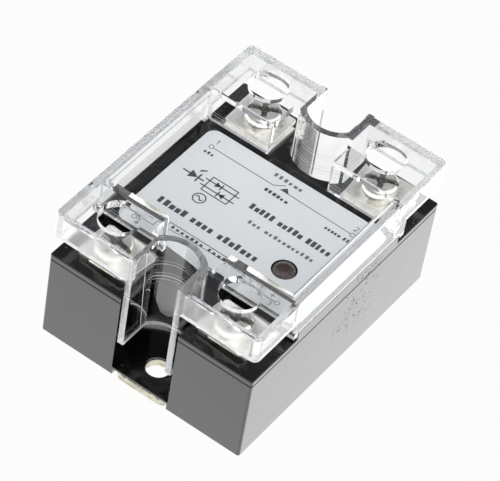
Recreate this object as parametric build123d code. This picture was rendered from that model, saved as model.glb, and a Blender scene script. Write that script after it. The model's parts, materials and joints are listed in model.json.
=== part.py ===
from build123d import *
import math
import os

# Panel-mount solid state relay, all sizes in millimetres.
# Origin: centre of the footprint at the underside of the base plate, +Z up.
# The control terminals (3 and 4) are at -Y, the output terminals (1 and 2) at +Y.

# Body
BODY_W = 46.0
BODY_L = 60.0
WALL = 1.6
CORNER_R = 0.5
CASE_INNER_R = 0.8
CASE_BOTTOM = 0.2
CASE_TOP = 19.4
LEDGE_TOP = 20.7
PLATFORM_TOP = 22.75
PLATFORM_L = 32.66
SEAM_GROOVE = 0.25
EDGE_R = 0.25
LID_WALL = 1.5
RIM_DEPTH = 1.4
RIM_T = 1.0
BOSS_WALL = 1.2
BOSS_DEPTH = 5.6
BORE_DEPTH = 5.0

# Mounting: a metal plate with one hole at each end, in a notch of the body
PLATE_T = 1.6
TAB_W = 12.4
TAB_CORNER_R = 2.2
PLATE_CORNER_R = 1.0
PLATE_GAP = 0.02
HOLE_PITCH = 48.8
HOLE_D = 4.6
HOLE_MARGIN = 0.15
NOTCH_FLOOR_T = 0.45
NOTCH_HALF_W = 6.5
NOTCH_STRAIGHT_Y = 22.5
NOTCH_END_Y = 18.95
NOTCH_WALL = 1.3
FIT_GAP = 0.1

# Clear cover
COVER_TOP = 32.1
COVER_CORNER_R = 1.2
COVER_INNER_R = 0.6
COVER_EDGE_R = 0.45
COVER_SEAT = 22.8
COVER_WALL = 1.5
SIDE_TOP_T = 2.2
SIDE_FOOT_T = 0.8
COVER_PLATE_T = 1.8
BOX_BOTTOM = 25.9
BACK_BOX_Y = 14.9
FRONT_BOX_Y = 16.9
BOX_WALL = 1.2
BOX_WALL_BOTTOM = 24.2
BOX_FREE_X = 7.0
SKIRT_HALF_W = 4.8
SKIRT_STRAIGHT_Y = 23.2
SKIRT_END_Y = 20.7
SKIRT_WALL = 1.3
SKIRT_BOTTOM = 9.4
SKIRT_SHOULDER = 0.6
ACCESS_R = 4.0
LATCH_L = 1.2
LATCH_BOTTOM = 21.9
LATCH_ROOT = 0.5

# Label and lamp
LABEL_X_LOW = -19.4
LABEL_X_HIGH = 20.3
LABEL_Y_LOW = -15.1
LABEL_Y_HIGH = 14.7
LABEL_CORNER_R = 2.0
LABEL_T = 0.12
LED_X = 12.1
LED_Y = -5.6
LED_R = 2.3
LED_HOLE_R = 2.5
LED_TOP = 23.75
LED_FLANGE_W = 0.6
LED_FLANGE_T = 1.0
LED_LEG_PITCH = 2.54
LED_LEG_R = 0.25

# Terminals
TERMINAL_X = 13.6
TERMINAL_Y = 23.1
STRAP_W = 10.8
STRAP_T = 1.0
STRAP_INNER_Y = 17.2
STRAP_OUTER_Y = 26.4
STRAP_FOOT_L = 2.6
STRAP_BEND_R = 0.6
STRAP_HOLE_R = 2.3
CLAMP_W = 10.8
CLAMP_L = 8.6
CLAMP_T = 0.9
CLAMP_CORNER_R = 0.9
CLAMP_EDGE_R = 0.25
CLAMP_HOLE_R = 2.6
CLAMP_TURN = {1: 1.0, 2: 5.5, 3: -4.5, 4: -5.0}
CLAMP_SHIFT = {1: (-0.5, 0.3), 2: (0.0, 0.4), 3: (-0.3, 0.4), 4: (0.1, 0.5)}
SCREW_R = 2.0
SCREW_SHANK_L = 8.0
SCREW_TIP = 0.4
SCREW_TURN = {1: 28.0, 2: 22.0, 3: 12.0, 4: -8.0}
HEAD_R = 3.45
HEAD_H = 2.4
HEAD_EDGE_R = 0.95
RECESS_W = 1.15
CROSS_L = 4.6
SLOT_DEPTH = 1.1
CROSS_DEPTH = 1.5
SOCKET_DEPTH = 1.9
NUT_W = 7.0
NUT_H = 3.2
NUT_CHAMFER = 0.5
THREAD_GAP = 0.05

# Power stage and circuit board
SOLDER_T = 0.15
CERAMIC_T = 0.65
TILE_X = 19.4
TILE_Y_LOW = -7.0
TILE_Y_HIGH = 19.0
COPPER_MARGIN = 0.4
COPPER_T = 0.3
CHIP = 8.0
CHIP_T = 0.45
CHIP_X = 8.0
CHIP_Y = {1: 9.0, 2: -1.0}
CLIP_W = 4.4
CLIP_T = 0.5
CLIP_RISE = 0.8
CLIP_KNEE_X = 2.7
CLIP_FOOT_X = 6.5
LEAD_R = 0.35
LEAD_OUT = 2.6
LEAD_SPREAD = 3.2
LEAD_PROUD = 0.8
BOARD_W = 41.0
BOARD_L = 32.4
BOARD_Z = 13.8
BOARD_T = 1.6
BOARD_CORNER_R = 1.0
BOARD_HOLE_GAP = 0.1
RESISTOR_R = 1.15
RESISTOR_L = 6.3
RESISTOR_LEAD_L = 9.6
RESISTOR_PLACES = ((-9.5, -9.0), (-9.5, -5.2), (-9.5, -1.4), (8.5, 4.5), (8.5, 8.3))
OPTO_HALF_W = 3.2
OPTO_HALF_L = 4.4
OPTO_PITCH = 2.54
CAPACITOR_X = (-19.0, -12.6)
CAPACITOR_Y = (2.2, 13.8)
CAPACITOR_H = 5.2
DISC_PLACE = (-1.0, 10.6)
DISC_R = 3.6
DISC_T = 3.2
TRANSISTOR_PLACE = (1.5, -11.6)
TRANSISTOR_R = 2.3
TRANSISTOR_H = 4.2
DIODE_PLACE = (-1.0, -7.2)
DIODE_R = 1.3
DIODE_L = 4.6
DIODE_LEAD_L = 7.6
POTTING_TOP = 12.6

STRAP_TOP = LEDGE_TOP + STRAP_T
CLAMP_TOP = STRAP_TOP + CLAMP_T
CERAMIC_TOP = PLATE_T + SOLDER_T + CERAMIC_T
PAD_TOP = CERAMIC_TOP + COPPER_T
BOARD_TOP = BOARD_Z + BOARD_T

# Number, side in X and side in Y of each terminal
TERMINALS = {1: (-1, 1), 2: (1, 1), 3: (1, -1), 4: (-1, -1)}


def block(x0, x1, y0, y1, z0, z1):
    """An axis-aligned box between two corners."""
    size = (x1 - x0, y1 - y0, z1 - z0)
    centre = ((x0 + x1) / 2, (y0 + y1) / 2, (z0 + z1) / 2)
    return Pos(*centre) * Box(*size)


def rounded_block(width, length, z0, z1, radius):
    """A box about the Z axis with rounded upright edges."""
    outline = Pos(0, 0, z0) * RectangleRounded(width, length, radius)
    return extrude(outline, amount=z1 - z0)


def rod(x, y, z0, z1, radius):
    """An upright cylinder between two heights."""
    return Pos(x, y, (z0 + z1) / 2) * Cylinder(radius, z1 - z0)


def bowed_notch(half_w, straight_y, end_y, z0, z1, side):
    """The notch shape: two straight legs from the end face, closed by a shallow arc."""
    mouth_y = BODY_L / 2 + 5
    legs = Polyline((-half_w, straight_y), (-half_w, mouth_y), (half_w, mouth_y), (half_w, straight_y))
    arc = ThreePointArc((half_w, straight_y), (0, end_y), (-half_w, straight_y))
    face = make_face(legs + arc)
    if side < 0:
        face = Rot(0, 0, 180) * face
    return extrude(Pos(0, 0, z0) * face, amount=z1 - z0)


def body_notch(side, z0, z1, grow=0.0):
    """The notch in the black body, grown outwards by a wall thickness if asked."""
    return bowed_notch(NOTCH_HALF_W + grow, NOTCH_STRAIGHT_Y - grow, NOTCH_END_Y - grow, z0, z1, side)


def terminal_place(number):
    """The centre of a terminal on the ledge."""
    side_x, side_y = TERMINALS[number]
    return side_x * TERMINAL_X, side_y * TERMINAL_Y


def make_base_plate():
    """The metal heat-sink plate, with a tab and a mounting hole at each end."""
    inner_w = BODY_W - 2 * (WALL + FIT_GAP)
    inner_l = BODY_L - 2 * (WALL + FIT_GAP)
    plate = rounded_block(inner_w, inner_l, 0, PLATE_T, PLATE_CORNER_R)
    plate += rounded_block(TAB_W, BODY_L, 0, PLATE_T, TAB_CORNER_R)
    for side in (-1, 1):
        plate -= rod(0, side * HOLE_PITCH / 2, -1, PLATE_T + 1, HOLE_D / 2)
    return plate


def make_case():
    """The black case: four outer walls, a notch wall and a thin notch floor at each end."""
    inner_w = BODY_W - 2 * WALL
    inner_l = BODY_L - 2 * WALL
    case = rounded_block(BODY_W, BODY_L, CASE_BOTTOM, CASE_TOP, CORNER_R)
    case = fillet(case.edges().group_by(Axis.Z)[-1], EDGE_R)
    case -= rounded_block(inner_w, inner_l, CASE_BOTTOM - 1, CASE_TOP + 1, CASE_INNER_R)
    floor_z = PLATE_T + PLATE_GAP
    floor_top = floor_z + NOTCH_FLOOR_T
    inside = block(-inner_w / 2, inner_w / 2, -inner_l / 2, inner_l / 2, floor_z, CASE_TOP)
    for side in (-1, 1):
        case += body_notch(side, floor_z, CASE_TOP, NOTCH_WALL) & inside
        case -= body_notch(side, floor_top, CASE_TOP + 1)
        slot_y = sorted((side * (inner_l / 2 - 1), side * (BODY_L / 2 + 1)))
        slot_x = TAB_W / 2 + FIT_GAP
        case -= block(-slot_x, slot_x, *slot_y, 0, floor_z)
        case -= rod(0, side * HOLE_PITCH / 2, 0, floor_top + 1, HOLE_D / 2 + HOLE_MARGIN)
    return case


def make_lid():
    """The black top: terminal ledges, the raised platform, nut pockets and strap slots."""
    seam = 2 * SEAM_GROOVE
    lid = rounded_block(BODY_W - seam, BODY_L - seam, CASE_TOP, CASE_TOP + SEAM_GROOVE, CORNER_R)
    ledge = rounded_block(BODY_W, BODY_L, CASE_TOP + SEAM_GROOVE, LEDGE_TOP, CORNER_R)
    lid += fillet(ledge.edges().group_by(Axis.Z)[-1], EDGE_R)
    half_w = BODY_W / 2
    half_p = PLATFORM_L / 2
    platform = block(-half_w, half_w, -half_p, half_p, CASE_TOP + SEAM_GROOVE, PLATFORM_TOP)
    platform = fillet(platform.edges().filter_by(Axis.Z), CORNER_R)
    lid += fillet(platform.edges().group_by(Axis.Z)[-1], EDGE_R)
    lid -= block(-half_w + WALL, half_w - WALL, -half_p + LID_WALL, half_p - LID_WALL,
                 CASE_TOP - 1, PLATFORM_TOP - LID_WALL)
    rim_w = BODY_W - 2 * (WALL + FIT_GAP)
    rim_l = BODY_L - 2 * (WALL + FIT_GAP)
    rim = rounded_block(rim_w, rim_l, CASE_TOP - RIM_DEPTH, CASE_TOP + SEAM_GROOVE, CASE_INNER_R)
    rim -= rounded_block(rim_w - 2 * RIM_T, rim_l - 2 * RIM_T, CASE_TOP - 2, CASE_TOP + 1, CASE_INNER_R)
    lid += rim
    boss_r = NUT_W / 2 + BOSS_WALL
    pocket_r = NUT_W / 2 + FIT_GAP
    for number, (_, side_y) in TERMINALS.items():
        x, y = terminal_place(number)
        lid += block(x - boss_r, x + boss_r, y - boss_r, y + boss_r, CASE_TOP - BOSS_DEPTH, LEDGE_TOP)
        lid -= block(x - pocket_r, x + pocket_r, y - pocket_r, y + pocket_r,
                     LEDGE_TOP - NUT_H - FIT_GAP, LEDGE_TOP + 1)
        lid -= rod(x, y, CASE_TOP - BORE_DEPTH, LEDGE_TOP, STRAP_HOLE_R)
        leg_y = sorted((side_y * (STRAP_INNER_Y - FIT_GAP), side_y * (STRAP_INNER_Y + STRAP_T + FIT_GAP)))
        leg_x = STRAP_W / 2 + FIT_GAP
        lid -= block(x - leg_x, x + leg_x, *leg_y, CASE_TOP - 2, LEDGE_TOP + 0.5)
    for side in (-1, 1):
        lid -= body_notch(side, CASE_TOP - BOSS_DEPTH - 1, CASE_TOP, NOTCH_WALL + FIT_GAP)
        lid -= body_notch(side, CASE_TOP - FIT_GAP, LEDGE_TOP + 1)
    lid -= rod(LED_X, LED_Y, PLATFORM_TOP - 2 * LID_WALL, PLATFORM_TOP + 1, LED_HOLE_R)
    return lid


def make_label():
    """The thin printed label on the platform, with a hole for the lamp."""
    centre = ((LABEL_X_LOW + LABEL_X_HIGH) / 2, (LABEL_Y_LOW + LABEL_Y_HIGH) / 2, 0)
    label = Pos(*centre) * rounded_block(LABEL_X_HIGH - LABEL_X_LOW, LABEL_Y_HIGH - LABEL_Y_LOW,
                                         PLATFORM_TOP, PLATFORM_TOP + LABEL_T, LABEL_CORNER_R)
    return label - rod(LED_X, LED_Y, PLATFORM_TOP - 1, PLATFORM_TOP + 1, LED_HOLE_R)


def make_led():
    """The domed lamp, held from below by its flange."""
    flange_top = PLATFORM_TOP - LID_WALL
    led = rod(LED_X, LED_Y, flange_top - LED_FLANGE_T, flange_top, LED_R + LED_FLANGE_W)
    straight_top = PLATFORM_TOP - FIT_GAP
    led += rod(LED_X, LED_Y, flange_top - LED_FLANGE_T, straight_top, LED_R)
    rise = LED_TOP - straight_top
    dome_r = (LED_R ** 2 + rise ** 2) / (2 * rise)
    dome = Pos(LED_X, LED_Y, LED_TOP - dome_r) * Sphere(dome_r)
    cap = rod(LED_X, LED_Y, flange_top, LED_TOP + 1, LED_R)
    return led + (dome & cap)


def led_leg_xs():
    """Where the lamp's two legs stand along X."""
    return LED_X - LED_LEG_PITCH / 2, LED_X + LED_LEG_PITCH / 2


def make_led_leads():
    """The two legs that carry the lamp above the board."""
    flange_bottom = PLATFORM_TOP - LID_WALL - LED_FLANGE_T
    legs = [rod(x, LED_Y, BOARD_Z - LEAD_PROUD, flange_bottom, LED_LEG_R) for x in led_leg_xs()]
    return Compound(children=legs)


def make_terminal_strap(number):
    """A plated strap: the pad under the clamp and a leg down through the lid to its foot."""
    side_x, side_y = TERMINALS[number]
    x, y = terminal_place(number)
    foot_z = PAD_TOP if side_y > 0 else BOARD_TOP
    half_w = STRAP_W / 2
    pad = block(x - half_w, x + half_w, STRAP_INNER_Y, STRAP_OUTER_Y, LEDGE_TOP, STRAP_TOP)
    leg = block(x - half_w, x + half_w, STRAP_INNER_Y, STRAP_INNER_Y + STRAP_T, foot_z, STRAP_TOP)
    foot = block(x - half_w, x + half_w, STRAP_INNER_Y - STRAP_FOOT_L, STRAP_INNER_Y + STRAP_T,
                 foot_z, foot_z + STRAP_T)
    strap = pad + leg + foot
    bend = strap.edges().filter_by(Axis.X).sort_by(Axis.Z)[-2:].sort_by(Axis.Y)[0]
    strap = fillet(bend, STRAP_BEND_R)
    strap -= rod(x, TERMINAL_Y, LEDGE_TOP - 1, STRAP_TOP + 1, STRAP_HOLE_R)
    if side_y < 0:
        strap = mirror(strap, about=Plane.XZ)
    return strap


def make_terminal_nut(number):
    """A square nut held in the lid pocket under its strap."""
    x, y = terminal_place(number)
    half = NUT_W / 2
    nut = block(x - half, x + half, y - half, y + half, LEDGE_TOP - NUT_H, LEDGE_TOP)
    nut = chamfer(nut.edges().filter_by(Axis.Z), NUT_CHAMFER)
    return nut - rod(x, y, LEDGE_TOP - NUT_H - 1, LEDGE_TOP + 1, SCREW_R + THREAD_GAP)


def make_clamp_plate(number):
    """The loose clamp plate under a screw head, turned and shifted within its wide hole."""
    x, y = terminal_place(number)
    shift_x, shift_y = CLAMP_SHIFT[number]
    plate = extrude(RectangleRounded(CLAMP_W, CLAMP_L, CLAMP_CORNER_R), amount=CLAMP_T)
    top = plate.faces().sort_by(Axis.Z)[-1]
    plate = fillet(top.edges(), CLAMP_EDGE_R)
    plate -= Cylinder(CLAMP_HOLE_R, 4 * CLAMP_T)
    return Pos(x + shift_x, y + shift_y, STRAP_TOP) * Rot(0, 0, CLAMP_TURN[number]) * plate


def make_terminal_screw(number):
    """A pan-head terminal screw with a combined slot and cross recess."""
    head = Cylinder(HEAD_R, HEAD_H, align=(Align.CENTER, Align.CENTER, Align.MIN))
    head = fillet(head.edges().group_by(Axis.Z)[-1], HEAD_EDGE_R)
    hung = (Align.CENTER, Align.CENTER, Align.MAX)
    recess = Box(2 * HEAD_R + 1, RECESS_W, SLOT_DEPTH, align=hung)
    recess += Box(RECESS_W, CROSS_L, CROSS_DEPTH, align=hung)
    recess += Box(CROSS_L, RECESS_W, CROSS_DEPTH, align=hung)
    recess += Cone(RECESS_W / 3, RECESS_W, SOCKET_DEPTH, align=hung)
    head -= Pos(0, 0, HEAD_H) * recess
    shank = Cylinder(SCREW_R, SCREW_SHANK_L, align=hung)
    shank = chamfer(shank.edges().group_by(Axis.Z)[0], SCREW_TIP)
    x, y = terminal_place(number)
    return Pos(x, y, CLAMP_TOP) * Rot(0, 0, SCREW_TURN[number]) * (head + shank)


def label_window():
    """The opening over the label; its long walls are drafted, thinner at the foot."""
    foot_x = BODY_W / 2 - SIDE_FOOT_T
    top_x = BODY_W / 2 - SIDE_TOP_T
    profile = Polyline((-foot_x, COVER_SEAT - 1), (foot_x, COVER_SEAT - 1), (foot_x, COVER_SEAT),
                       (top_x, COVER_TOP), (top_x, COVER_TOP + 1), (-top_x, COVER_TOP + 1),
                       (-top_x, COVER_TOP), (-foot_x, COVER_SEAT), close=True)
    window = extrude(Plane.XZ * make_face(profile), amount=FRONT_BOX_Y + BACK_BOX_Y)
    return Pos(0, BACK_BOX_Y, 0) * window


def make_cover():
    """The one-piece clear cover: side walls, four terminal boxes and two notch skirts."""
    half_w = BODY_W / 2
    half_l = BODY_L / 2
    inner_x = half_w - COVER_WALL
    inner_y = half_l - COVER_WALL
    plate_under = COVER_TOP - COVER_PLATE_T
    cover = rounded_block(BODY_W, BODY_L, COVER_SEAT, COVER_TOP, COVER_CORNER_R)
    top = cover.faces().sort_by(Axis.Z)[-1]
    cover = fillet(top.edges(), COVER_EDGE_R)
    cover -= rounded_block(2 * inner_x, 2 * inner_y, PLATFORM_TOP - 1, plate_under, COVER_INNER_R)
    cover -= label_window()
    latch_y = PLATFORM_L / 2 + FIT_GAP
    for side in (-1, 1):
        far_y = side * (half_l + 1)
        near_y = side * (latch_y + LATCH_L)
        cover -= block(-half_w - 1, half_w + 1, *sorted((near_y, far_y)), PLATFORM_TOP - 1, BOX_BOTTOM)
        gap_y = sorted((side * (BACK_BOX_Y - 1), side * (SKIRT_STRAIGHT_Y - SKIRT_WALL)))
        cover -= block(-BOX_FREE_X, BOX_FREE_X, *gap_y, PLATFORM_TOP - 1, COVER_TOP + 1)
        tab_y = sorted((side * latch_y, near_y))
        for side_x in (-1, 1):
            tab_x = sorted((side_x * inner_x, side_x * half_w))
            cover += block(*tab_x, *tab_y, LATCH_BOTTOM, COVER_SEAT + LATCH_ROOT)
    for side_x in (-1, 1):
        wall_x = sorted((side_x * BOX_FREE_X, side_x * (half_w - SIDE_FOOT_T)))
        cover += block(*wall_x, BACK_BOX_Y, BACK_BOX_Y + BOX_WALL, BOX_WALL_BOTTOM, COVER_TOP)
        cover += block(*wall_x, -FRONT_BOX_Y - BOX_WALL, -FRONT_BOX_Y, BOX_WALL_BOTTOM, COVER_TOP)
    within = block(-half_w, half_w, -half_l, half_l, SKIRT_BOTTOM, COVER_TOP)
    for side in (-1, 1):
        outer = bowed_notch(SKIRT_HALF_W + SKIRT_WALL, SKIRT_STRAIGHT_Y - SKIRT_SHOULDER, SKIRT_END_Y - SKIRT_WALL,
                            SKIRT_BOTTOM, COVER_TOP, side)
        cover += outer & within
        cover -= bowed_notch(SKIRT_HALF_W, SKIRT_STRAIGHT_Y, SKIRT_END_Y,
                             SKIRT_BOTTOM - 1, COVER_TOP + 1, side)
    for number in TERMINALS:
        x, y = terminal_place(number)
        cover -= rod(x, y, plate_under - 1, COVER_TOP + 1, ACCESS_R)
    return cover


def power_layer(x0, x1, margin, z0, z1):
    """A layer of the power stage, cut back from the notch wall."""
    layer = block(x0, x1, TILE_Y_LOW + margin, TILE_Y_HIGH - margin, z0, z1)
    return layer - body_notch(1, z0 - 1, z1 + 1, NOTCH_WALL + COPPER_T + margin)


def make_substrate():
    """The ceramic tile that insulates the power stage from the base plate."""
    return power_layer(-TILE_X, TILE_X, 0, PLATE_T + SOLDER_T, CERAMIC_TOP)


def make_substrate_solder():
    """The solder layer between the tile and the base plate."""
    edge = TILE_X - COPPER_MARGIN
    return power_layer(-edge, edge, COPPER_MARGIN, PLATE_T, PLATE_T + SOLDER_T)


def make_copper_pad(number):
    """One of the two copper pads on the tile, one for each output terminal."""
    side_x = TERMINALS[number][0]
    pad_x = sorted((side_x * 2 * COPPER_MARGIN, side_x * (TILE_X - COPPER_MARGIN)))
    return power_layer(*pad_x, COPPER_MARGIN, CERAMIC_TOP, PAD_TOP)


def chip_place(number):
    """The centre of a thyristor chip on its pad."""
    side_x = TERMINALS[number][0]
    return side_x * CHIP_X, CHIP_Y[number]


def make_thyristor_chip(number):
    """A thyristor chip, soldered to its pad."""
    x, y = chip_place(number)
    half = CHIP / 2
    return block(x - half, x + half, y - half, y + half, PAD_TOP, PAD_TOP + CHIP_T)


def make_cathode_clip(number):
    """The copper clip from the top of one chip to the opposite pad."""
    x, y = chip_place(number)
    chip_top = PAD_TOP + CHIP_T
    bridge_z = chip_top + CLIP_RISE
    y_ends = (y - CLIP_W / 2, y + CLIP_W / 2)
    knee_x = CLIP_KNEE_X + CLIP_T
    near = sorted((math.copysign(CLIP_KNEE_X, x), x))
    near_knee = sorted((math.copysign(CLIP_KNEE_X, x), math.copysign(knee_x, x)))
    far = sorted((math.copysign(CLIP_KNEE_X, -x), math.copysign(CLIP_FOOT_X, -x)))
    far_knee = sorted((math.copysign(CLIP_KNEE_X, -x), math.copysign(knee_x, -x)))
    clip = block(-knee_x, knee_x, *y_ends, bridge_z, bridge_z + CLIP_T)
    clip += block(*near, *y_ends, chip_top, chip_top + CLIP_T)
    clip += block(*near_knee, *y_ends, chip_top, bridge_z + CLIP_T)
    clip += block(*far, *y_ends, PAD_TOP, PAD_TOP + CLIP_T)
    clip += block(*far_knee, *y_ends, PAD_TOP, bridge_z + CLIP_T)
    return clip


def gate_lead_places():
    """Where the four gate and cathode leads stand, two on each chip."""
    places = []
    for number in (1, 2):
        x, y = chip_place(number)
        outer = math.copysign(LEAD_OUT, x)
        places += [(x + outer, y - LEAD_SPREAD), (x + outer, y + LEAD_SPREAD)]
    return places


def make_gate_leads():
    """The upright leads that join the chips to the board."""
    top = BOARD_TOP + LEAD_PROUD
    leads = [rod(x, y, PAD_TOP + CHIP_T, top, LEAD_R) for x, y in gate_lead_places()]
    return Compound(children=leads)


def make_circuit_board():
    """The trigger circuit board, drilled for every lead that passes through it."""
    half_w = BOARD_W / 2
    half_l = BOARD_L / 2
    board = block(-half_w, half_w, -half_l, half_l, BOARD_Z, BOARD_TOP)
    board = fillet(board.edges().filter_by(Axis.Z), BOARD_CORNER_R)
    holes = [(x, y, LEAD_R + BOARD_HOLE_GAP) for x, y in gate_lead_places()]
    holes += [(x, LED_Y, LED_LEG_R + BOARD_HOLE_GAP) for x in led_leg_xs()]
    for x, y, radius in holes:
        board -= rod(x, y, BOARD_Z - 1, BOARD_TOP + 1, radius)
    return board


def make_optocoupler():
    """The light-coupled trigger chip with its six legs folded under it."""
    body = block(-OPTO_HALF_W, OPTO_HALF_W, -OPTO_HALF_L, OPTO_HALF_L, BOARD_TOP + 0.5, BOARD_TOP + 4.0)
    return chamfer(body.edges().filter_by(Axis.Y), 0.4)


def make_optocoupler_legs():
    """The six flat legs of the trigger chip."""
    legs = []
    for side_x in (-1, 1):
        for y in (-OPTO_PITCH, 0, OPTO_PITCH):
            x = sorted((side_x * OPTO_HALF_W, side_x * (OPTO_HALF_W + 0.4)))
            legs.append(block(*x, y - 0.5, y + 0.5, BOARD_TOP, BOARD_TOP + 2.2))
    return Compound(children=legs)


def make_resistors():
    """The axial resistors of the trigger and control circuits, lying on the board."""
    bodies = []
    for x, y in RESISTOR_PLACES:
        body = Cylinder(RESISTOR_R, RESISTOR_L) + Cylinder(LEAD_R, RESISTOR_LEAD_L)
        bodies.append(Pos(x, y, BOARD_TOP + RESISTOR_R + BOARD_HOLE_GAP) * Rot(0, 90, 0) * body)
    return Compound(children=bodies)


def make_snubber_capacitor():
    """The film capacitor across the output."""
    body = block(*CAPACITOR_X, *CAPACITOR_Y, BOARD_TOP, BOARD_TOP + CAPACITOR_H)
    return fillet(body.edges().filter_by(Axis.Z), 0.6)


def make_surge_suppressor():
    """The disc that clamps voltage spikes across the output, lying flat."""
    bottom = BOARD_TOP + BOARD_HOLE_GAP
    disc = rod(*DISC_PLACE, bottom, bottom + DISC_T, DISC_R)
    return fillet(disc.edges(), 0.8)


def make_regulator_transistor():
    """The transistor that holds the control current steady."""
    bottom = BOARD_TOP + LEAD_PROUD
    body = rod(0, 0, bottom, bottom + TRANSISTOR_H, TRANSISTOR_R)
    flat_y = -TRANSISTOR_R / 2
    body -= block(-TRANSISTOR_R, TRANSISTOR_R, -TRANSISTOR_R, flat_y, bottom, bottom + TRANSISTOR_H)
    return Pos(*TRANSISTOR_PLACE, 0) * body


def make_protection_diode():
    """The diode that guards the control input against reversed leads."""
    body = Cylinder(DIODE_R, DIODE_L) + Cylinder(LEAD_R, DIODE_LEAD_L)
    return Pos(*DIODE_PLACE, BOARD_TOP + DIODE_R + BOARD_HOLE_GAP) * Rot(0, 90, 0) * body


def make_potting(sunk):
    """The resin that buries the power stage, cut round every part that it surrounds."""
    resin = rounded_block(BODY_W - 2 * WALL, BODY_L - 2 * WALL, PLATE_T, POTTING_TOP, CASE_INNER_R)
    for side in (-1, 1):
        resin -= body_notch(side, 0, POTTING_TOP + 1, NOTCH_WALL)
    for piece in sunk:
        resin -= piece
    return resin


def build_nodes():
    """Every piece of the relay by node name."""
    nodes = {
        "base_plate": make_base_plate(),
        "case": make_case(),
        "lid": make_lid(),
        "rating_label": make_label(),
        "led_lens": make_led(),
        "led_leads": make_led_leads(),
        "clear_cover": make_cover(),
        "ceramic_substrate": make_substrate(),
        "substrate_solder": make_substrate_solder(),
        "gate_leads": make_gate_leads(),
        "circuit_board": make_circuit_board(),
        "optocoupler": make_optocoupler(),
        "optocoupler_legs": make_optocoupler_legs(),
        "resistors": make_resistors(),
        "snubber_capacitor": make_snubber_capacitor(),
        "surge_suppressor": make_surge_suppressor(),
        "regulator_transistor": make_regulator_transistor(),
        "protection_diode": make_protection_diode(),
    }
    for number in (1, 2):
        nodes[f"copper_pad_{number}"] = make_copper_pad(number)
        nodes[f"thyristor_chip_{number}"] = make_thyristor_chip(number)
        nodes[f"cathode_clip_{number}"] = make_cathode_clip(number)
    for number in TERMINALS:
        nodes[f"terminal_strap_{number}"] = make_terminal_strap(number)
        nodes[f"terminal_nut_{number}"] = make_terminal_nut(number)
        nodes[f"clamp_plate_{number}"] = make_clamp_plate(number)
        nodes[f"terminal_screw_{number}"] = make_terminal_screw(number)
    sunk_names = ["ceramic_substrate", "substrate_solder", "gate_leads"]
    for number in (1, 2):
        sunk_names += [f"copper_pad_{number}", f"thyristor_chip_{number}",
                       f"cathode_clip_{number}", f"terminal_strap_{number}"]
    nodes["potting_compound"] = make_potting([nodes[name] for name in sunk_names])
    return nodes


os.makedirs("parts", exist_ok=True)
for node_name, shape in build_nodes().items():
    export_step(shape, f"parts/{node_name}.step")
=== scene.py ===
import json
import math
import random

import bmesh
import bpy
from mathutils import Matrix, Vector


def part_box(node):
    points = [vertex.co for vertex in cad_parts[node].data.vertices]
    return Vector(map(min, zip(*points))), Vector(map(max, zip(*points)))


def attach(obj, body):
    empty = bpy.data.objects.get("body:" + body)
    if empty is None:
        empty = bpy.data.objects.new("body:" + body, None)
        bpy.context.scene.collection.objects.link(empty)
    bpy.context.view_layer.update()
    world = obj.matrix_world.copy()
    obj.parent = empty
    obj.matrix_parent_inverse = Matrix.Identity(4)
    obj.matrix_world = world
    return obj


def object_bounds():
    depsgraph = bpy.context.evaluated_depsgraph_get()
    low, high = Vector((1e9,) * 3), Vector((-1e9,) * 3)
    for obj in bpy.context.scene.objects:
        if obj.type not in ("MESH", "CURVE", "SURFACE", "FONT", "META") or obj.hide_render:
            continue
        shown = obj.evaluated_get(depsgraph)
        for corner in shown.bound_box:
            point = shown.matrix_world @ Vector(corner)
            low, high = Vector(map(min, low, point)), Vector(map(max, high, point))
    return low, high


MM = 0.001
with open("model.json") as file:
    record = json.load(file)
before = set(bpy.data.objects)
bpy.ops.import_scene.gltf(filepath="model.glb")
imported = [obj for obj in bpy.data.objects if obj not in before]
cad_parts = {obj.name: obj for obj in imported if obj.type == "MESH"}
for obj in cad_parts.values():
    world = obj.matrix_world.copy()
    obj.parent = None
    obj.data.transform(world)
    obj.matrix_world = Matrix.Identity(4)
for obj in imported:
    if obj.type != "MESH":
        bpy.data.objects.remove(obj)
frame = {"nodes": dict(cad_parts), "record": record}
nodes = frame["nodes"]
cad_low, cad_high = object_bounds()


# ---------------------------------------------------------------- camera, world and floor

# the camera: bearings in degrees, the point it looks at and its distance in millimetres, its lens
CAMERA_BEARINGS = (28.74, 46.56, 10.28)
CAMERA_TARGET = (-3.48, 8.05, 8.27)
CAMERA_DISTANCE = 616
CAMERA_LENS = 233.6
# the surroundings: the direction in which they are dimmest, and their strength
DIM_SIDE = (-0.33, 0.60, 0.73)
SKY_STRENGTH = 1.75
# the lit table: half its width in metres, its gap below the object in millimetres, its two light levels
FLOOR_HALF = 2.5
FLOOR_GAP = 0.02
FLOOR_SEEN = 0.975
FLOOR_LIGHTING = 2.55


def make_camera():
    """A long lens above the front corner, rolled a little."""
    azimuth, elevation, roll = (math.radians(v) for v in CAMERA_BEARINGS)
    back = Vector((math.sin(azimuth) * math.cos(elevation),
                   -math.cos(azimuth) * math.cos(elevation),
                   math.sin(elevation)))
    level = Vector((math.cos(azimuth), math.sin(azimuth), 0))
    rise = back.cross(level)
    right = level * math.cos(roll) + rise * math.sin(roll)
    up = rise * math.cos(roll) - level * math.sin(roll)
    place = Vector(CAMERA_TARGET) * MM + back * CAMERA_DISTANCE * MM
    data = bpy.data.cameras.new("camera")
    data.lens = CAMERA_LENS
    data.sensor_width = 36
    data.clip_start = 0.01
    data.clip_end = 20
    camera = bpy.data.objects.new("camera", data)
    camera.matrix_world = Matrix((
        (right.x, up.x, back.x, place.x),
        (right.y, up.y, back.y, place.y),
        (right.z, up.z, back.z, place.z),
        (0, 0, 0, 1)))
    bpy.context.scene.collection.objects.link(camera)
    bpy.context.scene.camera = camera


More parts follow.
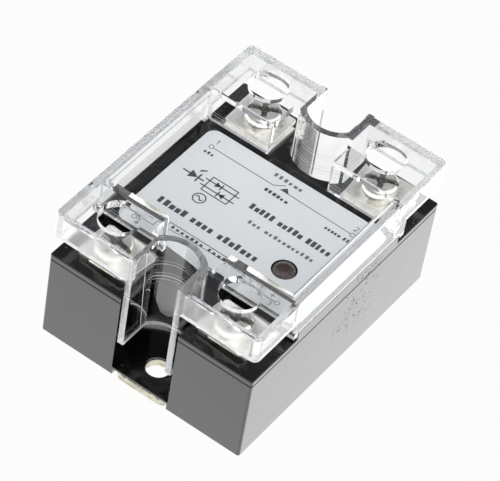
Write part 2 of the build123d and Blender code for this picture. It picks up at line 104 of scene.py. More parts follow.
def make_world():
    """Soft studio surroundings: bright all round, dimmer over the far side."""
    world = bpy.data.worlds.new("studio")
    bpy.context.scene.world = world
    world.use_nodes = True
    tree = world.node_tree
    coords = tree.nodes.new("ShaderNodeTexCoord")
    dot = tree.nodes.new("ShaderNodeVectorMath")
    dot.operation = "DOT_PRODUCT"
    dot.inputs[1].default_value = Vector(DIM_SIDE).normalized()
    tree.links.new(coords.outputs["Generated"], dot.inputs[0])
    # white up to the first stop, easing down to a dim grey at the second
    ramp = tree.nodes.new("ShaderNodeValToRGB")
    ramp.color_ramp.interpolation = "EASE"
    ramp.color_ramp.elements[0].position = 0.35
    ramp.color_ramp.elements[0].color = (1, 1, 1, 1)
    ramp.color_ramp.elements[1].position = 0.93
    ramp.color_ramp.elements[1].color = (0.17, 0.175, 0.185, 1)
    tree.links.new(dot.outputs["Value"], ramp.inputs[0])
    sky = tree.nodes["Background"]
    sky.inputs["Strength"].default_value = SKY_STRENGTH
    tree.links.new(ramp.outputs[0], sky.inputs["Color"])


def make_floor():
    """A plain white lit table under the object, with two light levels.

    The lower level is what is seen straight or through the clear plastic. The upper one is what lights
    a surface or is mirrored by it, so the table is plain white and still shines in the black faces.
    """
    mesh = bpy.data.meshes.new("floor")
    corners = [(x * FLOOR_HALF, y * FLOOR_HALF, 0) for x, y in ((-1, -1), (1, -1), (1, 1), (-1, 1))]
    mesh.from_pydata(corners, [], [(0, 1, 2, 3)])
    floor = bpy.data.objects.new("floor", mesh)
    floor.location.z = cad_low.z - FLOOR_GAP * MM
    material = bpy.data.materials.new("lit_table")
    material.use_nodes = True
    tree = material.node_tree
    tree.nodes.clear()
    light = tree.nodes.new("ShaderNodeEmission")
    light.inputs["Color"].default_value = (1.0, 1.0, 0.995, 1)
    # the upper level for a ray that left a matt surface, or a mirroring one without passing plastic
    path = tree.nodes.new("ShaderNodeLightPath")
    through = tree.nodes.new("ShaderNodeMath")
    through.operation = "LESS_THAN"
    through.inputs[1].default_value = 0.5
    tree.links.new(path.outputs["Transmission Depth"], through.inputs[0])
    mirrored = tree.nodes.new("ShaderNodeMath")
    mirrored.operation = "MULTIPLY"
    tree.links.new(path.outputs["Glossy Depth"], mirrored.inputs[0])
    tree.links.new(through.outputs[0], mirrored.inputs[1])
    bounced = tree.nodes.new("ShaderNodeMath")
    tree.links.new(path.outputs["Diffuse Depth"], bounced.inputs[0])
    tree.links.new(mirrored.outputs[0], bounced.inputs[1])
    level = tree.nodes.new("ShaderNodeMapRange")
    level.inputs["To Min"].default_value = FLOOR_SEEN
    level.inputs["To Max"].default_value = FLOOR_LIGHTING
    tree.links.new(bounced.outputs[0], level.inputs["Value"])
    tree.links.new(level.outputs[0], light.inputs["Strength"])
    out = tree.nodes.new("ShaderNodeOutputMaterial")
    tree.links.new(light.outputs[0], out.inputs[0])
    mesh.materials.append(material)
    bpy.context.scene.collection.objects.link(floor)


# ---------------------------------------------------------------- materials

class Paint:
    """A Principled material with a few helpers for procedural detail, in millimetre coordinates."""

    def __init__(self, name, **sockets):
        self.material = bpy.data.materials.new(name)
        self.material.use_nodes = True
        self.tree = self.material.node_tree
        self.shader = self.tree.nodes["Principled BSDF"]
        coords = self.tree.nodes.new("ShaderNodeTexCoord")
        self.coords = coords.outputs["Object"]
        for socket, value in sockets.items():
            self.shader.inputs[socket.replace("_", " ")].default_value = value

    def link(self, source, socket):
        self.tree.links.new(source, self.shader.inputs[socket])

    def node(self, kind, inputs=(), **props):
        """Adds a node. An input that is a socket is linked, and any other value is set."""
        made = self.tree.nodes.new(kind)
        for key, value in props.items():
            setattr(made, key, value)
        for key, value in dict(inputs).items():
            if isinstance(value, bpy.types.NodeSocket):
                self.tree.links.new(value, made.inputs[key])
            else:
                made.inputs[key].default_value = value
        return made

    def place(self, scale=(1, 1, 1), turn=(0, 0, 0)):
        """Object coordinates in millimetres, stretched and turned."""
        mapping = self.node("ShaderNodeMapping", {"Vector": self.coords, "Rotation": turn,
                                                  "Scale": [1000 * s for s in scale]})
        return mapping.outputs[0]

    def noise(self, scale, detail, rough=0.5, stretch=(1, 1, 1), turn=(0, 0, 0), distort=0.0):
        """A noise pattern, with its scale in periods per millimetre."""
        made = self.node("ShaderNodeTexNoise", {"Vector": self.place(stretch, turn), "Scale": scale,
                                                "Detail": detail, "Roughness": rough, "Distortion": distort})
        return made.outputs["Fac"]

    def spots(self, scale):
        """The distance to the nearest of many scattered points."""
        made = self.node("ShaderNodeTexVoronoi", {"Vector": self.place(), "Scale": scale})
        return made.outputs["Distance"]

    def span(self, value, low, high, out_low=0.0, out_high=1.0):
        """Maps the range from low to high onto the range from out_low to out_high."""
        made = self.node("ShaderNodeMapRange", {"Value": value, "From Min": low, "From Max": high,
                                                "To Min": out_low, "To Max": out_high})
        return made.outputs[0]

    def maths(self, operation, a, b):
        return self.node("ShaderNodeMath", {0: a, 1: b}, operation=operation).outputs[0]

    def single(self, operation, value):
        return self.node("ShaderNodeMath", {0: value}, operation=operation).outputs[0]

    def product(self, first, *others):
        for other in others:
            first = self.maths("MULTIPLY", first, other)
        return first

    def highest(self, first, *others):
        for other in others:
            first = self.maths("MAXIMUM", first, other)
        return first

    def blend(self, fac, a, b):
        """Colour a where fac is 0, colour b where it is 1."""
        made = self.node("ShaderNodeMix", data_type="RGBA")
        for index, value in ((0, fac), (6, a), (7, b)):
            if isinstance(value, bpy.types.NodeSocket):
                self.tree.links.new(value, made.inputs[index])
            else:
                made.inputs[index].default_value = value
        return made.outputs[2]

    def bump(self, height, strength, distance):
        """Relief of the surface, with its depth in millimetres."""
        made = self.node("ShaderNodeBump", {"Height": height, "Strength": strength,
                                            "Distance": distance * MM})
        self.link(made.outputs[0], "Normal")

    def position(self):
        """The three object coordinates, in millimetres."""
        split = self.node("ShaderNodeSeparateXYZ", {0: self.place()})
        return split.outputs["X"], split.outputs["Y"], split.outputs["Z"]

    def within(self, value, centre, reach):
        """1 where a value is near a centre, 0 elsewhere."""
        made = self.node("ShaderNodeMath", {0: value, 1: centre, 2: reach}, operation="COMPARE")
        return made.outputs[0]

    def facing_up(self):
        """1 on faces that look up, 0 on the others."""
        geometry = self.node("ShaderNodeNewGeometry")
        split = self.node("ShaderNodeSeparateXYZ", {0: geometry.outputs["Normal"]})
        return self.span(split.outputs["Z"], 0.5, 0.9)


# The places below are in millimetres, in the shared frame. They pick out faces that look different.
# the moulded undersides of the cover: its skirts, latch tabs, seat and terminal boxes
UNDERSIDES = (9.4, 21.9, 22.8, 25.9)
# the outer face of the cover's front end walls
FRONT_FACE = -30.0
# how near a face has to be to one of these places
FACE_REACH = 0.03
# where the four terminal screws stand, folded into one quarter, and the top of their heads
TERMINAL = (13.6, 23.1)
HEAD_TOP = 25.0
# the right face of the housing, and the middle of the gritty patch on it
RIGHT_FACE = 22.9
GRIT_Y = 4.0
# where the tabs of the heat-sink plate begin, and the height on their edge where resin starts
TAB_START = 28.0
RESIN_RIM = 1.42


def grey(value):
    return (value, value, value, 1)


def darker(color, share):
    return tuple(c * share for c in color[:3]) + (1,)


def black_plastic(name):
    """Glossy black moulding: waves, scuffs, pits, a gritty patch, and dust on the faces that look up."""
    base = grey(0.002)
    paint = Paint(name, IOR=1.5, Base_Color=base)
    smudge = paint.noise(0.12, 4.0, 0.6)
    fine = paint.noise(6.0, 2.0)
    scratch_a = paint.noise(1.6, 2.0, 0.5, (0.06, 1.4, 1.4), (0.2, 0.1, 0.55))
    scratch_b = paint.noise(1.3, 2.0, 0.5, (1.5, 0.05, 1.2), (0.1, 0.4, 0.3))
    lines = paint.highest(paint.span(scratch_a, 0.685, 0.72), paint.span(scratch_b, 0.70, 0.74))
    pits = paint.product(paint.span(paint.spots(0.9), 0.11, 0.06),
                         paint.span(paint.noise(0.09, 2.0), 0.56, 0.66))
    # grit in the right face, thickest at the middle of its patch
    x, y, z = paint.position()
    across = paint.single("ABSOLUTE", paint.maths("SUBTRACT", y, GRIT_Y))
    patch = paint.product(paint.span(x, RIGHT_FACE, RIGHT_FACE + 0.09), paint.span(across, 9.0, 3.0),
                          paint.span(z, 6.0, 9.0), paint.span(paint.noise(0.28, 3.0), 0.40, 0.55))
    grains = paint.highest(paint.span(paint.spots(1.5), 0.26, 0.18),
                           paint.span(paint.noise(1.1, 4.0, 0.7), 0.60, 0.66))
    grit = paint.span(paint.product(grains, patch), 0.08, 0.45)
    dust = paint.product(paint.span(paint.spots(0.75), 0.10, 0.04), paint.facing_up(),
                         paint.span(paint.noise(0.35, 2.0), 0.45, 0.62))
    pale = paint.highest(paint.product(dust, 0.55), paint.product(lines, 0.035))
    paint.link(paint.blend(pale, base, grey(0.45)), "Base Color")
    rough = paint.highest(paint.span(smudge, 0.3, 0.7, 0.07, 0.16), paint.product(pits, 0.8), grit,
                          paint.product(lines, 0.2))
    paint.link(rough, "Roughness")
    waves = paint.noise(0.35, 3.0, 0.55)
    height = paint.maths("SUBTRACT", paint.product(fine, 0.04), paint.product(pits, 0.2))
    paint.bump(paint.maths("ADD", height, paint.product(waves, 0.8)), 0.3, 0.09)
    return paint.material


def clear_plastic(name):
    """Clear plastic: a trace of blue, hairline scratches, milky undersides and a hazy front end."""
    paint = Paint(name, IOR=1.49)
    scratch = paint.noise(1.7, 2.0, 0.5, (1.6, 0.05, 1.4), (0.3, 0.2, 0.9))
    cloud = paint.noise(1.5, 3.0, 0.6)
    lines = paint.span(scratch, 0.76, 0.79)
    y, z = paint.position()[1:]
    under = paint.highest(*(paint.within(z, height, FACE_REACH) for height in UNDERSIDES))
    front = paint.within(y, FRONT_FACE, FACE_REACH)
    milky = paint.highest(paint.product(under, paint.span(cloud, 0.3, 0.7, 0.55, 0.9)),
                          paint.product(front, 0.11))
    paint.link(paint.blend(milky, (0.99, 0.993, 0.998, 1), (0.88, 0.90, 0.92, 1)), "Base Color")
    paint.link(paint.maths("SUBTRACT", 1.0, milky), "Transmission Weight")
    rough = paint.highest(paint.product(lines, 0.06), paint.product(milky, 0.7), paint.product(front, 0.24))
    paint.link(rough, "Roughness")
    return paint.material


def plated(name, color, rough, stain, grain=0.25, recess_dirt_and_shade=False):
    """Nickel plate over stamped or turned metal: satin, uneven and stained.

    When asked, the recess of a screw head is filled dark, partly with dirt and partly with painted shade.
    Otherwise a patchy ring of painted shade surrounds the screw on the plate.
    """
    paint = Paint(name, Metallic=1.0)
    cloud = paint.noise(0.5, 5.0, 0.65)
    fine = paint.noise(7.0, 3.0, 0.6)
    patches = paint.noise(0.8, 4.0, 0.7, distort=0.6)
    # a stain colour, also used darker for the painted shade ring round the screws
    stain_and_shade_tone = tuple(c * f for c, f in zip(color, (0.42, 0.33, 0.22))) + (1,)
    shade = paint.blend(paint.span(cloud, 0.35, 0.7), color, darker(color, 0.82))
    shade = paint.blend(paint.product(paint.span(patches, 0.52, 0.72), stain), shade, stain_and_shade_tone)
    roughness = paint.span(cloud, 0.3, 0.7, rough * 0.8, rough * 1.3)
    # the distance from the axis of the nearest terminal screw
    x, y, z = paint.position()
    aside = paint.maths("SUBTRACT", paint.single("ABSOLUTE", x), TERMINAL[0])
    along = paint.maths("SUBTRACT", paint.single("ABSOLUTE", y), TERMINAL[1])
    squares = paint.maths("ADD", paint.product(aside, aside), paint.product(along, along))
    radius = paint.single("SQRT", squares)
    # the screw recess darkened by its depth below the head top: painted shade in the hollow, mixed with some
    # dirt
    if recess_dirt_and_shade:
        cross = paint.product(paint.span(z, HEAD_TOP - 0.05, HEAD_TOP - 0.45), paint.span(radius, 2.8, 2.4))
        slot = paint.product(paint.span(z, HEAD_TOP - 0.85, HEAD_TOP - 1.0), paint.span(radius, 3.4, 3.3))
        dirt_and_shade = paint.product(paint.highest(cross, slot),
                             paint.span(paint.noise(1.4, 4.0, 0.7), 0.3, 0.55, 0.55, 1.0))
        shade = paint.blend(dirt_and_shade, shade, (0.045, 0.035, 0.022, 1))
        roughness = paint.highest(roughness, paint.product(dirt_and_shade, 0.75))
        paint.link(paint.maths("SUBTRACT", 1.0, paint.product(dirt_and_shade, 0.9)), "Metallic")
    else:
        # a patchy dark ring round each screw head on the plate: painted shade at the foot of the head
        painted_shade_ring = paint.product(paint.span(radius, 4.6, 3.4), paint.span(patches, 0.42, 0.62, 0.1, 0.6))
        shade = paint.blend(painted_shade_ring, shade, darker(stain_and_shade_tone, 0.6))
    paint.link(shade, "Base Color")
    paint.link(roughness, "Roughness")
    paint.bump(fine, grain, 0.02)
    return paint.material


def brushed_plate(name):
    """The heat-sink plate: sheared edge, streaks along its length, tarnish, resin over its top rim."""
    paint = Paint(name)
    streak = paint.noise(2.2, 4.0, 0.6, (1.8, 0.12, 1.8))
    cloud = paint.noise(0.55, 5.0, 0.65)
    ragged = paint.noise(1.1, 5.0, 0.75)
    shade = paint.blend(paint.span(cloud, 0.45, 0.62), (0.305, 0.292, 0.238, 1), (0.16, 0.15, 0.115, 1))
    shade = paint.blend(paint.span(streak, 0.55, 0.75), shade, (0.10, 0.095, 0.075, 1))
    y, z = paint.position()[1:]
    tab = paint.span(paint.single("ABSOLUTE", y), TAB_START, TAB_START + 0.2)
    height = paint.maths("ADD", z, paint.span(ragged, 0.3, 0.7, -0.55, 0.55))
    resin = paint.product(paint.span(height, RESIN_RIM, RESIN_RIM + 0.08), tab)
    paint.link(paint.blend(resin, shade, grey(0.006)), "Base Color")
    paint.link(paint.maths("SUBTRACT", 1.0, resin), "Metallic")
    paint.link(paint.span(streak, 0.3, 0.7, 0.28, 0.5), "Roughness")
    paint.bump(streak, 0.35, 0.03)
    return paint.material


def label_film(name):
    """Light grey printed film with a satin face."""
    paint = Paint(name, IOR=1.5)
    cloud = paint.noise(0.07, 3.0, 0.5)
    grain = paint.noise(9.0, 2.0, 0.6)
    specks = paint.product(paint.span(paint.spots(0.42), 0.06, 0.03), 0.35)
    base = paint.blend(paint.span(cloud, 0.3, 0.7), (0.655, 0.68, 0.70, 1), (0.64, 0.668, 0.69, 1))
    paint.link(paint.blend(specks, base, grey(0.25)), "Base Color")
    paint.link(paint.span(grain, 0.3, 0.7, 0.36, 0.46), "Roughness")
    paint.bump(grain, 0.12, 0.01)
    return paint.material


def ink(name, value):
    """Screen-printed ink, a little uneven."""
    paint = Paint(name, IOR=1.5)
    cloud = paint.noise(2.5, 4.0, 0.6)
    paint.link(paint.blend(paint.span(cloud, 0.35, 0.75), grey(value), grey(value * 1.7)), "Base Color")
    paint.link(paint.span(cloud, 0.3, 0.7, 0.4, 0.55), "Roughness")
    paint.bump(cloud, 0.1, 0.005)
    return paint.material


def lamp_epoxy(name):
    """Dark brown-red tinted epoxy over a black well."""
    paint = Paint(name, IOR=1.54, Transmission_Weight=0.45)
    cloud = paint.noise(0.9, 3.0, 0.5)
    tint = paint.blend(paint.span(cloud, 0.3, 0.7), (0.075, 0.042, 0.042, 1), (0.045, 0.024, 0.025, 1))
    paint.link(tint, "Base Color")
    paint.link(paint.span(cloud, 0.3, 0.7, 0.03, 0.10), "Roughness")
    paint.bump(cloud, 0.15, 0.05)
    return paint.material


def matt(name, light, dark, scale, rough, relief):
    """A plain moulded, fired or coated surface with mottling and grain."""
    paint = Paint(name, IOR=1.5)
    cloud = paint.noise(scale, 5.0, 0.6)
    grain = paint.noise(scale * 9, 3.0, 0.6)
    paint.link(paint.blend(paint.span(cloud, 0.3, 0.7), light, dark), "Base Color")
    paint.link(paint.span(grain, 0.3, 0.7, rough * 0.85, min(1.0, rough * 1.15)), "Roughness")
    paint.bump(grain, relief, 0.03)
    return paint.material


def metal(name, light, dark, scale, rough):
    """Bare or tinned metal with tarnish and fine grain."""
    paint = Paint(name, Metallic=1.0)
    cloud = paint.noise(scale, 5.0, 0.6)
    grain = paint.noise(scale * 8, 3.0, 0.6)
    paint.link(paint.blend(paint.span(cloud, 0.35, 0.7), light, dark), "Base Color")
    paint.link(paint.span(cloud, 0.3, 0.7, rough * 0.8, rough * 1.3), "Roughness")
    paint.bump(grain, 0.25, 0.02)
    return paint.material


def make_materials():
    """One material for each slot of the record, and those of the printed and cast detail."""
    looks = {
        "black_housing": black_plastic("black_housing_look"),
        "clear_polycarbonate": clear_plastic("clear_polycarbonate_look"),
        "plated_plate": brushed_plate("plated_plate_look"),
        "plated_terminal": plated("plated_terminal_look", (0.98, 0.97, 0.93, 1), 0.45, 0.25),
        "plated_steel": plated("plated_steel_look", (0.93, 0.91, 0.86, 1), 0.28, 0.5, 0.35, recess_dirt_and_shade=True),
        "label_film": label_film("label_film_look"),
        "lamp_epoxy": lamp_epoxy("lamp_epoxy_look"),
        "dark_ink": ink("dark_ink_look", 0.045),
        "grey_ink": ink("grey_ink_look", 0.11),
    }
    # slot, light colour, dark colour, scale of the mottling, roughness
    for slot, light, dark, scale, rough in (
            ("copper", (0.85, 0.48, 0.32, 1), (0.45, 0.22, 0.14, 1), 0.6, 0.3),
            ("silicon_chip", (0.30, 0.31, 0.35, 1), (0.18, 0.18, 0.22, 1), 0.9, 0.15),
            ("solder", (0.62, 0.62, 0.60, 1), (0.42, 0.42, 0.40, 1), 1.4, 0.4),
            ("tinned_wire", (0.74, 0.73, 0.70, 1), (0.52, 0.50, 0.46, 1), 1.2, 0.3)):
        looks[slot] = metal(slot + "_look", light, dark, scale, rough)
    # the same, and the relief of the grain
    for slot, light, dark, scale, rough, relief in (
            ("white_ceramic", (0.86, 0.86, 0.83, 1), (0.78, 0.77, 0.73, 1), 0.5, 0.55, 0.3),
            ("board_laminate", (0.03, 0.22, 0.09, 1), (0.02, 0.15, 0.06, 1), 0.4, 0.35, 0.2),
            ("black_component", grey(0.03), grey(0.018), 0.8, 0.5, 0.3),
            ("resistor_body", (0.42, 0.56, 0.66, 1), (0.34, 0.46, 0.56, 1), 0.8, 0.35, 0.15),
            ("film_capacitor", (0.80, 0.52, 0.06, 1), (0.66, 0.40, 0.05, 1), 0.4, 0.4, 0.2),
            ("disc_coating", (0.05, 0.14, 0.42, 1), (0.03, 0.10, 0.32, 1), 0.6, 0.35, 0.3),
            ("black_resin", grey(0.022), grey(0.010), 0.5, 0.35, 0.5),
            ("whitened_plastic", (0.86, 0.88, 0.90, 1), (0.72, 0.75, 0.78, 1), 2.0, 0.45, 0.3)):
        looks[slot] = matt(slot + "_look", light, dark, scale, rough, relief)
    return looks


def dress_nodes(looks):
    """Every CAD node gets the look of its slot."""
    for part in frame["record"]["subparts"]:
        mesh = nodes[part["node"]].data
        look = looks[part["material_slot"]]
        if not mesh.materials:
            mesh.materials.append(look)
        for index in range(len(mesh.materials)):
            mesh.materials[index] = look


# ---------------------------------------------------------------- mesh helpers

def add_piece(name, bm, look, body, smooth=False):
    """Turns a bmesh into a piece that rides on a body."""
    bmesh.ops.recalc_face_normals(bm, faces=bm.faces)
    mesh = bpy.data.meshes.new(name)
    bm.to_mesh(mesh)
    bm.free()
    mesh.materials.append(look)
    for polygon in mesh.polygons:
        polygon.use_smooth = smooth
    piece = bpy.data.objects.new(name, mesh)
    bpy.context.scene.collection.objects.link(piece)
    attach(piece, body)
    return piece


def raise_polygon(bm, outline, z0, z1):
    """A flat polygon, in millimetres, raised between two heights."""
    low = [bm.verts.new((x * MM, y * MM, z0 * MM)) for x, y in outline]
    high = [bm.verts.new((x * MM, y * MM, z1 * MM)) for x, y in outline]
    bm.faces.new(high)
    bm.faces.new(list(reversed(low)))
    for i in range(len(outline)):
        j = (i + 1) % len(outline)
        bm.faces.new((low[i], low[j], high[j], high[i]))


# the least cosine at which the corner of a ribbon is still fully mitred
MITRE_LIMIT = 0.35


def raise_ribbon(bm, points, width, z0, z1, closed=False):
    """A raised line of even width along points, mitred at its corners."""
    count = len(points)
    left, right = [], []
    for i, (x, y) in enumerate(points):
        before = points[i - 1] if i > 0 or closed else points[i]
        after = points[(i + 1) % count] if i < count - 1 or closed else points[i]
        into = Vector((x - before[0], y - before[1]))
        out = Vector((after[0] - x, after[1] - y))
        into = into.normalized() if into.length else out.normalized()
        out = out.normalized() if out.length else into
        along = (into + out).normalized() if (into + out).length > 1e-6 else into
        side = Vector((-along.y, along.x))
        reach = width / 2 / max(MITRE_LIMIT, side.dot(Vector((-into.y, into.x))))
        left.append((x + side.x * reach, y + side.y * reach))
        right.append((x - side.x * reach, y - side.y * reach))
    last = count if closed else count - 1
    for i in range(last):
        j = (i + 1) % count
        raise_polygon(bm, (right[i], right[j], left[j], left[i]), z0, z1)


# ---------------------------------------------------------------- the printed label

# the strokes of the terminal numbers, in units of their height
DIGITS = {
    "1": [[(0.10, 0.76), (0.36, 1.0), (0.36, 0.0)]],
    "2": [[(0.02, 0.80), (0.12, 0.95), (0.30, 1.0), (0.50, 0.94), (0.58, 0.76), (0.50, 0.55),
           (0.02, 0.0), (0.62, 0.0)]],
    "3": [[(0.04, 0.90), (0.22, 1.0), (0.42, 1.0), (0.57, 0.86), (0.54, 0.64), (0.30, 0.53)],
          [(0.30, 0.53), (0.56, 0.42), (0.60, 0.20), (0.42, 0.01), (0.18, 0.0), (0.02, 0.12)]],
    "4": [[(0.46, 0.0), (0.46, 1.0), (0.0, 0.30), (0.64, 0.30)]],
}
# how deep the ink sits in the film and how far it stands out, in millimetres
INK_ROOT = 0.004
INK_RISE = 0.012
# how many straight pieces make a printed ring
RING_STEPS = 24
# the gap between two groups of blank blocks, in units of one block's step
WORD_GAP = 0.7
# the heights of the blank blocks, in units of their row, drawn at random
BLOCK_HEIGHTS = (0.74, 0.74, 1.0)


class Sheet:
    """Ink on the label: everything raised a few microns over its film."""

    def __init__(self, top):
        self.dark = bmesh.new()
        self.grey = bmesh.new()
        self.z0 = top - INK_ROOT
        self.z1 = top + INK_RISE

    def line(self, points, width, closed=False, faint=False):
        raise_ribbon(self.grey if faint else self.dark, points, width, self.z0, self.z1, closed)

    def patch(self, outline, faint=False):
        raise_polygon(self.grey if faint else self.dark, outline, self.z0, self.z1)

    def ring(self, x, y, radius, width):
        angles = [2 * math.pi * i / RING_STEPS for i in range(RING_STEPS)]
        points = [(x + radius * math.cos(angle), y + radius * math.sin(angle)) for angle in angles]
        self.line(points, width, closed=True)

    def digit(self, text, x, y, height, width):
        for stroke in DIGITS[text]:
            self.line([(x + px * height, y + py * height) for px, py in stroke], width)

    def words(self, x0, x1, y0, y1, height, groups, seed, weight, faint=False):
        """A row of blank blocks where a line of small print would be, grouped like words."""
        chance = random.Random(seed)
        cells = sum(groups) + WORD_GAP * (len(groups) - 1)
        step = math.hypot(x1 - x0, y1 - y0) / cells
        direction = Vector((x1 - x0, y1 - y0)).normalized()
        normal = Vector((-direction.y, direction.x))
        at = 0.0
        for group in groups:
            for _ in range(group):
                wide = weight * chance.uniform(0.7, 1.0)
                tall = chance.choice(BLOCK_HEIGHTS)
                outline = []
                for u, v in ((0.0, 0.0), (wide, 0.0), (wide, tall), (0.0, tall)):
                    point = Vector((x0, y0)) + direction * (at + u) * step + normal * v * height
                    outline.append((point.x, point.y))
                self.patch(outline, faint)
                at += 1
            at += WORD_GAP

    def finish(self, looks):
        add_piece("label_print_dark", self.dark, looks["dark_ink"], "relay_body")
        add_piece("label_print_grey", self.grey, looks["grey_ink"], "relay_body")


def print_label(looks):
    """Terminal numbers, circuit lines, ordinary circuit symbols and blank rows for the words.

    Every length is in millimetres, and every place is in the shared frame.
    """
    sheet = Sheet(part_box("rating_label")[1].z / MM)
    thin = 0.16
    # output end: two rings, the circuit line and its contact
    sheet.ring(-16.5, 10.4, 0.48, 0.15)
    sheet.ring(16.5, 10.05, 0.48, 0.15)
    sheet.line([(-15.9, 10.38), (-1.95, 10.33), (-0.08, 11.82)], thin)
    sheet.patch([(-0.42, 10.25), (1.65, 10.25), (0.62, 11.45)])
    sheet.line([(1.4, 10.34), (15.95, 10.08)], thin)
    sheet.digit("1", -16.6, 11.6, 1.15, 0.15)
    sheet.digit("2", 15.9, 11.2, 1.15, 0.15)
    sheet.words(-3.4, 3.4, 12.45, 12.35, 0.95, (6,), 3, 0.7, faint=True)
    sheet.words(-2.6, 3.0, 8.1, 8.0, 0.85, (6,), 5, 0.76)
    sheet.words(-16.95, -14.5, 8.35, 8.35, 0.8, (3,), 8, 0.76)
    sheet.words(11.5, 17.2, 7.8, 7.75, 0.85, (5, 2), 9, 0.76)
    # title rows
    sheet.words(-2.0, 16.6, 2.5, 2.4, 1.5, (5, 5, 5), 11, 0.8)
    sheet.words(0.1, 15.2, -0.8, -0.8, 0.95, (3, 11), 12, 0.66, faint=True)
    sheet.words(-15.7, 7.4, -7.8, -7.9, 1.65, (5, 4, 7), 14, 0.8)
    # a lamp symbol beside two back-to-back switches, as drawn in any circuit diagram
    bold = 0.34
    sheet.line([(-17.0, 2.2), (-15.4, 2.2)], bold)
    sheet.patch([(-15.4, 1.1), (-15.4, 3.3), (-13.6, 2.2)])
    sheet.line([(-13.5, 1.0), (-13.5, 3.4)], bold)
    sheet.line([(-13.4, 2.2), (-12.2, 2.2)], bold)
    for share in (0.0, 0.95):
        sheet.line([(-14.3, 3.7 + share * 0.4), (-13.2, 4.75 + share * 0.1)], bold * 0.6)
    sheet.line([(-11.4, 0.2), (-11.4, 4.3), (-5.6, 4.3), (-5.6, 0.2), (-11.4, 0.2)], bold * 0.7)
    sheet.line([(-12.4, 3.1), (-4.6, 3.1)], bold * 0.8)
    sheet.patch([(-10.0, 2.35), (-10.0, 3.85), (-8.8, 3.1)])
    sheet.line([(-8.7, 2.3), (-8.7, 3.9)], bold * 0.8)
    sheet.line([(-12.4, 1.3), (-4.6, 1.3)], bold * 0.8)
    sheet.patch([(-7.0, 0.55), (-7.0, 2.05), (-8.2, 1.3)])
    sheet.line([(-8.3, 0.5), (-8.3, 2.1)], bold * 0.8)
    # an alternating-current ring
    sheet.ring(-10.2, -1.9, 1.25, 0.26)
    turns = [i / 16 for i in range(17)]
    sheet.line([(-11.0 + 1.6 * turn, -1.9 + 0.42 * math.sin(2 * math.pi * turn)) for turn in turns], 0.24)
    # control end: two rings, their lines and the stepped frame over the notch
    sheet.ring(16.3, -13.2, 0.46, 0.14)
    sheet.ring(-16.3, -13.2, 0.46, 0.14)
    sheet.digit("3", 14.9, -14.55, 1.05, 0.14)
    sheet.digit("4", -15.4, -14.55, 1.05, 0.14)
    sheet.line([(14.1, -12.2), (15.1, -12.2)], thin)
    sheet.line([(14.6, -12.7), (14.6, -11.7)], thin)
    sheet.line([(-13.9, -11.9), (-12.9, -11.9)], thin)
    sheet.line([(-15.85, -13.2), (-12.0, -13.2), (-12.0, -11.7), (-10.4, -11.7)], thin)
    sheet.line([(15.85, -13.2), (12.0, -13.2), (12.0, -11.7), (10.4, -11.7)], thin)
    sheet.line([(-10.4, -10.4), (10.4, -10.4)], thin * 1.1)
    half = 12
    bow = [(10.4 * i / half, -12.15 + 0.62 * (1 - (i / half) ** 2)) for i in range(-half, half + 1)]
    sheet.line([(-10.4, -10.4)] + bow + [(10.4, -10.4)], thin * 0.8)
    sheet.words(-9.6, 9.4, -11.5, -11.55, 0.75, (7, 4, 5), 21, 0.66)
    sheet.finish(looks)


# ---------------------------------------------------------------- cast and stamped detail

def potting_edge(looks, side):
    """The ragged skin of resin that runs out over the plate's tab at one end."""
    chance = random.Random(40 + side)
    plate_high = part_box("base_plate")[1]
    top = plate_high.z / MM
    end = plate_high.y / MM
    half_width = 6.0
    inner = end - 1.75
    across, along = 46, 5
    # the skin's underside is a hair above the plate
    underside = (top + 0.005) * MM
    bm = bmesh.new()
    rows = []
    for i in range(across + 1):
        x = -half_width + 2 * half_width * i / across
        reach = end - 0.18 - 0.55 * chance.random() ** 2.2
        rise = 0.30 + 0.16 * chance.random()
        if i in (0, across):
            reach = inner + 0.5
        row = []
        for k in range(along + 1):
            share = k / along
            y = inner + (reach - inner) * share
            z = top + 0.02 + rise * (1 - share ** 3) + 0.05 * chance.random() * (1 - share)
            row.append(bm.verts.new((side * x * MM, side * y * MM, z * MM)))
        row.append(bm.verts.new((side * x * MM, side * reach * MM, underside)))
        row.append(bm.verts.new((side * x * MM, side * inner * MM, underside)))
        rows.append(row)
    for a, b in zip(rows, rows[1:]):
        for k in range(len(a)):
            m = (k + 1) % len(a)
            bm.faces.new((a[k], a[m], b[m], b[k]))
    bm.faces.new(rows[0])
    bm.faces.new(list(reversed(rows[-1])))
    name = "potting_edge_back" if side > 0 else "potting_edge_front"
    add_piece(name, bm, looks["black_resin"], "relay_body", smooth=True)


def lamp_frame(looks):
    """The cup and post of the lamp, seen dimly through its lens."""
    low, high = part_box("led_lens")
    cup_x = (low.x + high.x) / 2 / MM - 0.35
    cup_y = (low.y + high.y) / 2 / MM
    base = low.z / MM + 0.35
    # radius and height of each ring of the cup, from its foot round its lip to its hollow
    rings = ((0.55, 0.0), (0.62, 1.1), (1.05, 1.55), (0.95, 1.6), (0.42, 1.3))
    steps = 28
    bm = bmesh.new()
    previous = None
    for radius, z in rings:
        ring = []
        for i in range(steps):
            angle = 2 * math.pi * i / steps
            ring.append(bm.verts.new(((cup_x + radius * math.cos(angle)) * MM,
                                      (cup_y + radius * math.sin(angle)) * MM, (base + z) * MM)))
        if previous:
            for i in range(steps):
                j = (i + 1) % steps
                bm.faces.new((previous[i], previous[j], ring[j], ring[i]))
        else:
            bm.faces.new(list(reversed(ring)))
        previous = ring
    tip = bm.verts.new((cup_x * MM, cup_y * MM, (base + rings[-1][1]) * MM))
    for i in range(steps):
        bm.faces.new((previous[i], previous[(i + 1) % steps], tip))
    post_x, half, tall = cup_x + 1.5, 0.3, 1.7
    post = [(post_x + dx * half, cup_y + dy * half) for dx, dy in ((-1, -1), (1, -1), (1, 1), (-1, 1))]
    raise_polygon(bm, post, base, base + tall)
    add_piece("led_frame", bm, looks["tinned_wire"], "relay_body")


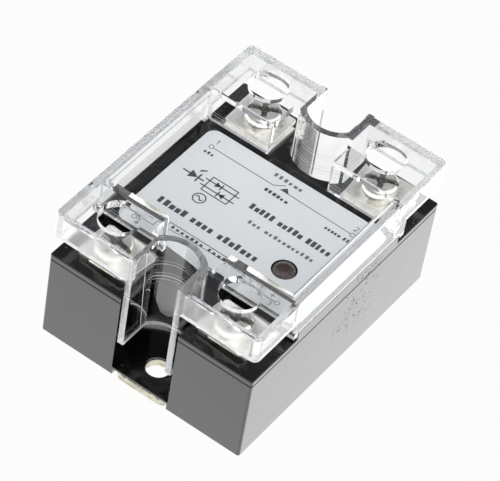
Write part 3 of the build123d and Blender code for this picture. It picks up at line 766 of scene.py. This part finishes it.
# A shape is drawn flat and raised; these turn it upright. The drawn axes become Y and Z and its
# height becomes X, or the drawn axes become X and Z and its height becomes Y.
STAND_ALONG_Y = Matrix(((0, 0, 1, 0), (1, 0, 0, 0), (0, 1, 0, 0), (0, 0, 0, 1)))
STAND_ALONG_X = Matrix(((1, 0, 0, 0), (0, 0, 1, 0), (0, 1, 0, 0), (0, 0, 0, 1)))
# the inner face of the left cheek of the front skirt, and the foot of the front end walls
SKIRT_X = -4.8
WALL_FOOT = 25.9


def cover_scratches(looks):
    """Handling scratches on the left cheek of the front skirt."""
    scratches = (
        (0.13, ((-26.15, 31.2), (-25.9, 25.2), (-25.5, 18.1), (-24.85, 9.9))),
        (0.10, ((-29.3, 20.3), (-27.5, 18.7), (-25.6, 16.3), (-24.0, 13.5), (-23.3, 12.0))),
        (0.08, ((-24.9, 20.3), (-24.3, 20.1), (-23.7, 19.5), (-23.3, 18.7))),
    )
    bm = bmesh.new()
    for width, points in scratches:
        raise_ribbon(bm, points, width, SKIRT_X - 0.01, SKIRT_X + 0.015)
    bmesh.ops.transform(bm, matrix=STAND_ALONG_Y, verts=bm.verts)
    add_piece("cover_scratches", bm, looks["whitened_plastic"], "cover")


def cover_flash(looks):
    """Nibs of moulding flash under the front end walls."""
    chance = random.Random(5)
    # the middle, width and drop of each nib
    nibs = ((-15.7, 1.0, 0.2), (-10.4, 0.8, 0.16), (-7.3, 0.8, 0.42),
            (9.9, 1.0, 0.3), (12.4, 0.6, 0.12), (15.6, 0.8, 0.22), (19.2, 1.3, 0.4))
    root = WALL_FOOT + 0.05
    outer, inner = -29.9, -29.4
    bm = bmesh.new()
    for x, width, drop in nibs:
        shift = width * chance.uniform(-0.15, 0.15)
        outline = [(x - width / 2, root), (x - width * 0.25 + shift, WALL_FOOT - drop * 0.8),
                   (x + shift, WALL_FOOT - drop), (x + width * 0.3, WALL_FOOT - drop * 0.5),
                   (x + width / 2, root)]
        raise_polygon(bm, outline, outer, inner)
    bmesh.ops.transform(bm, matrix=STAND_ALONG_X, verts=bm.verts)
    add_piece("cover_flash", bm, looks["whitened_plastic"], "cover")


# ---------------------------------------------------------------- make everything

scene = bpy.context.scene
scene.view_settings.view_transform = "Standard"
scene.cycles.use_denoising = True
scene.cycles.max_bounces = 24
scene.cycles.transmission_bounces = 20
scene.cycles.glossy_bounces = 10
scene.cycles.blur_glossy = 0.3

make_camera()
make_world()
make_floor()
looks = make_materials()
dress_nodes(looks)
print_label(looks)
for side in (-1, 1):
    potting_edge(looks, side)
lamp_frame(looks)
cover_scratches(looks)
cover_flash(looks)
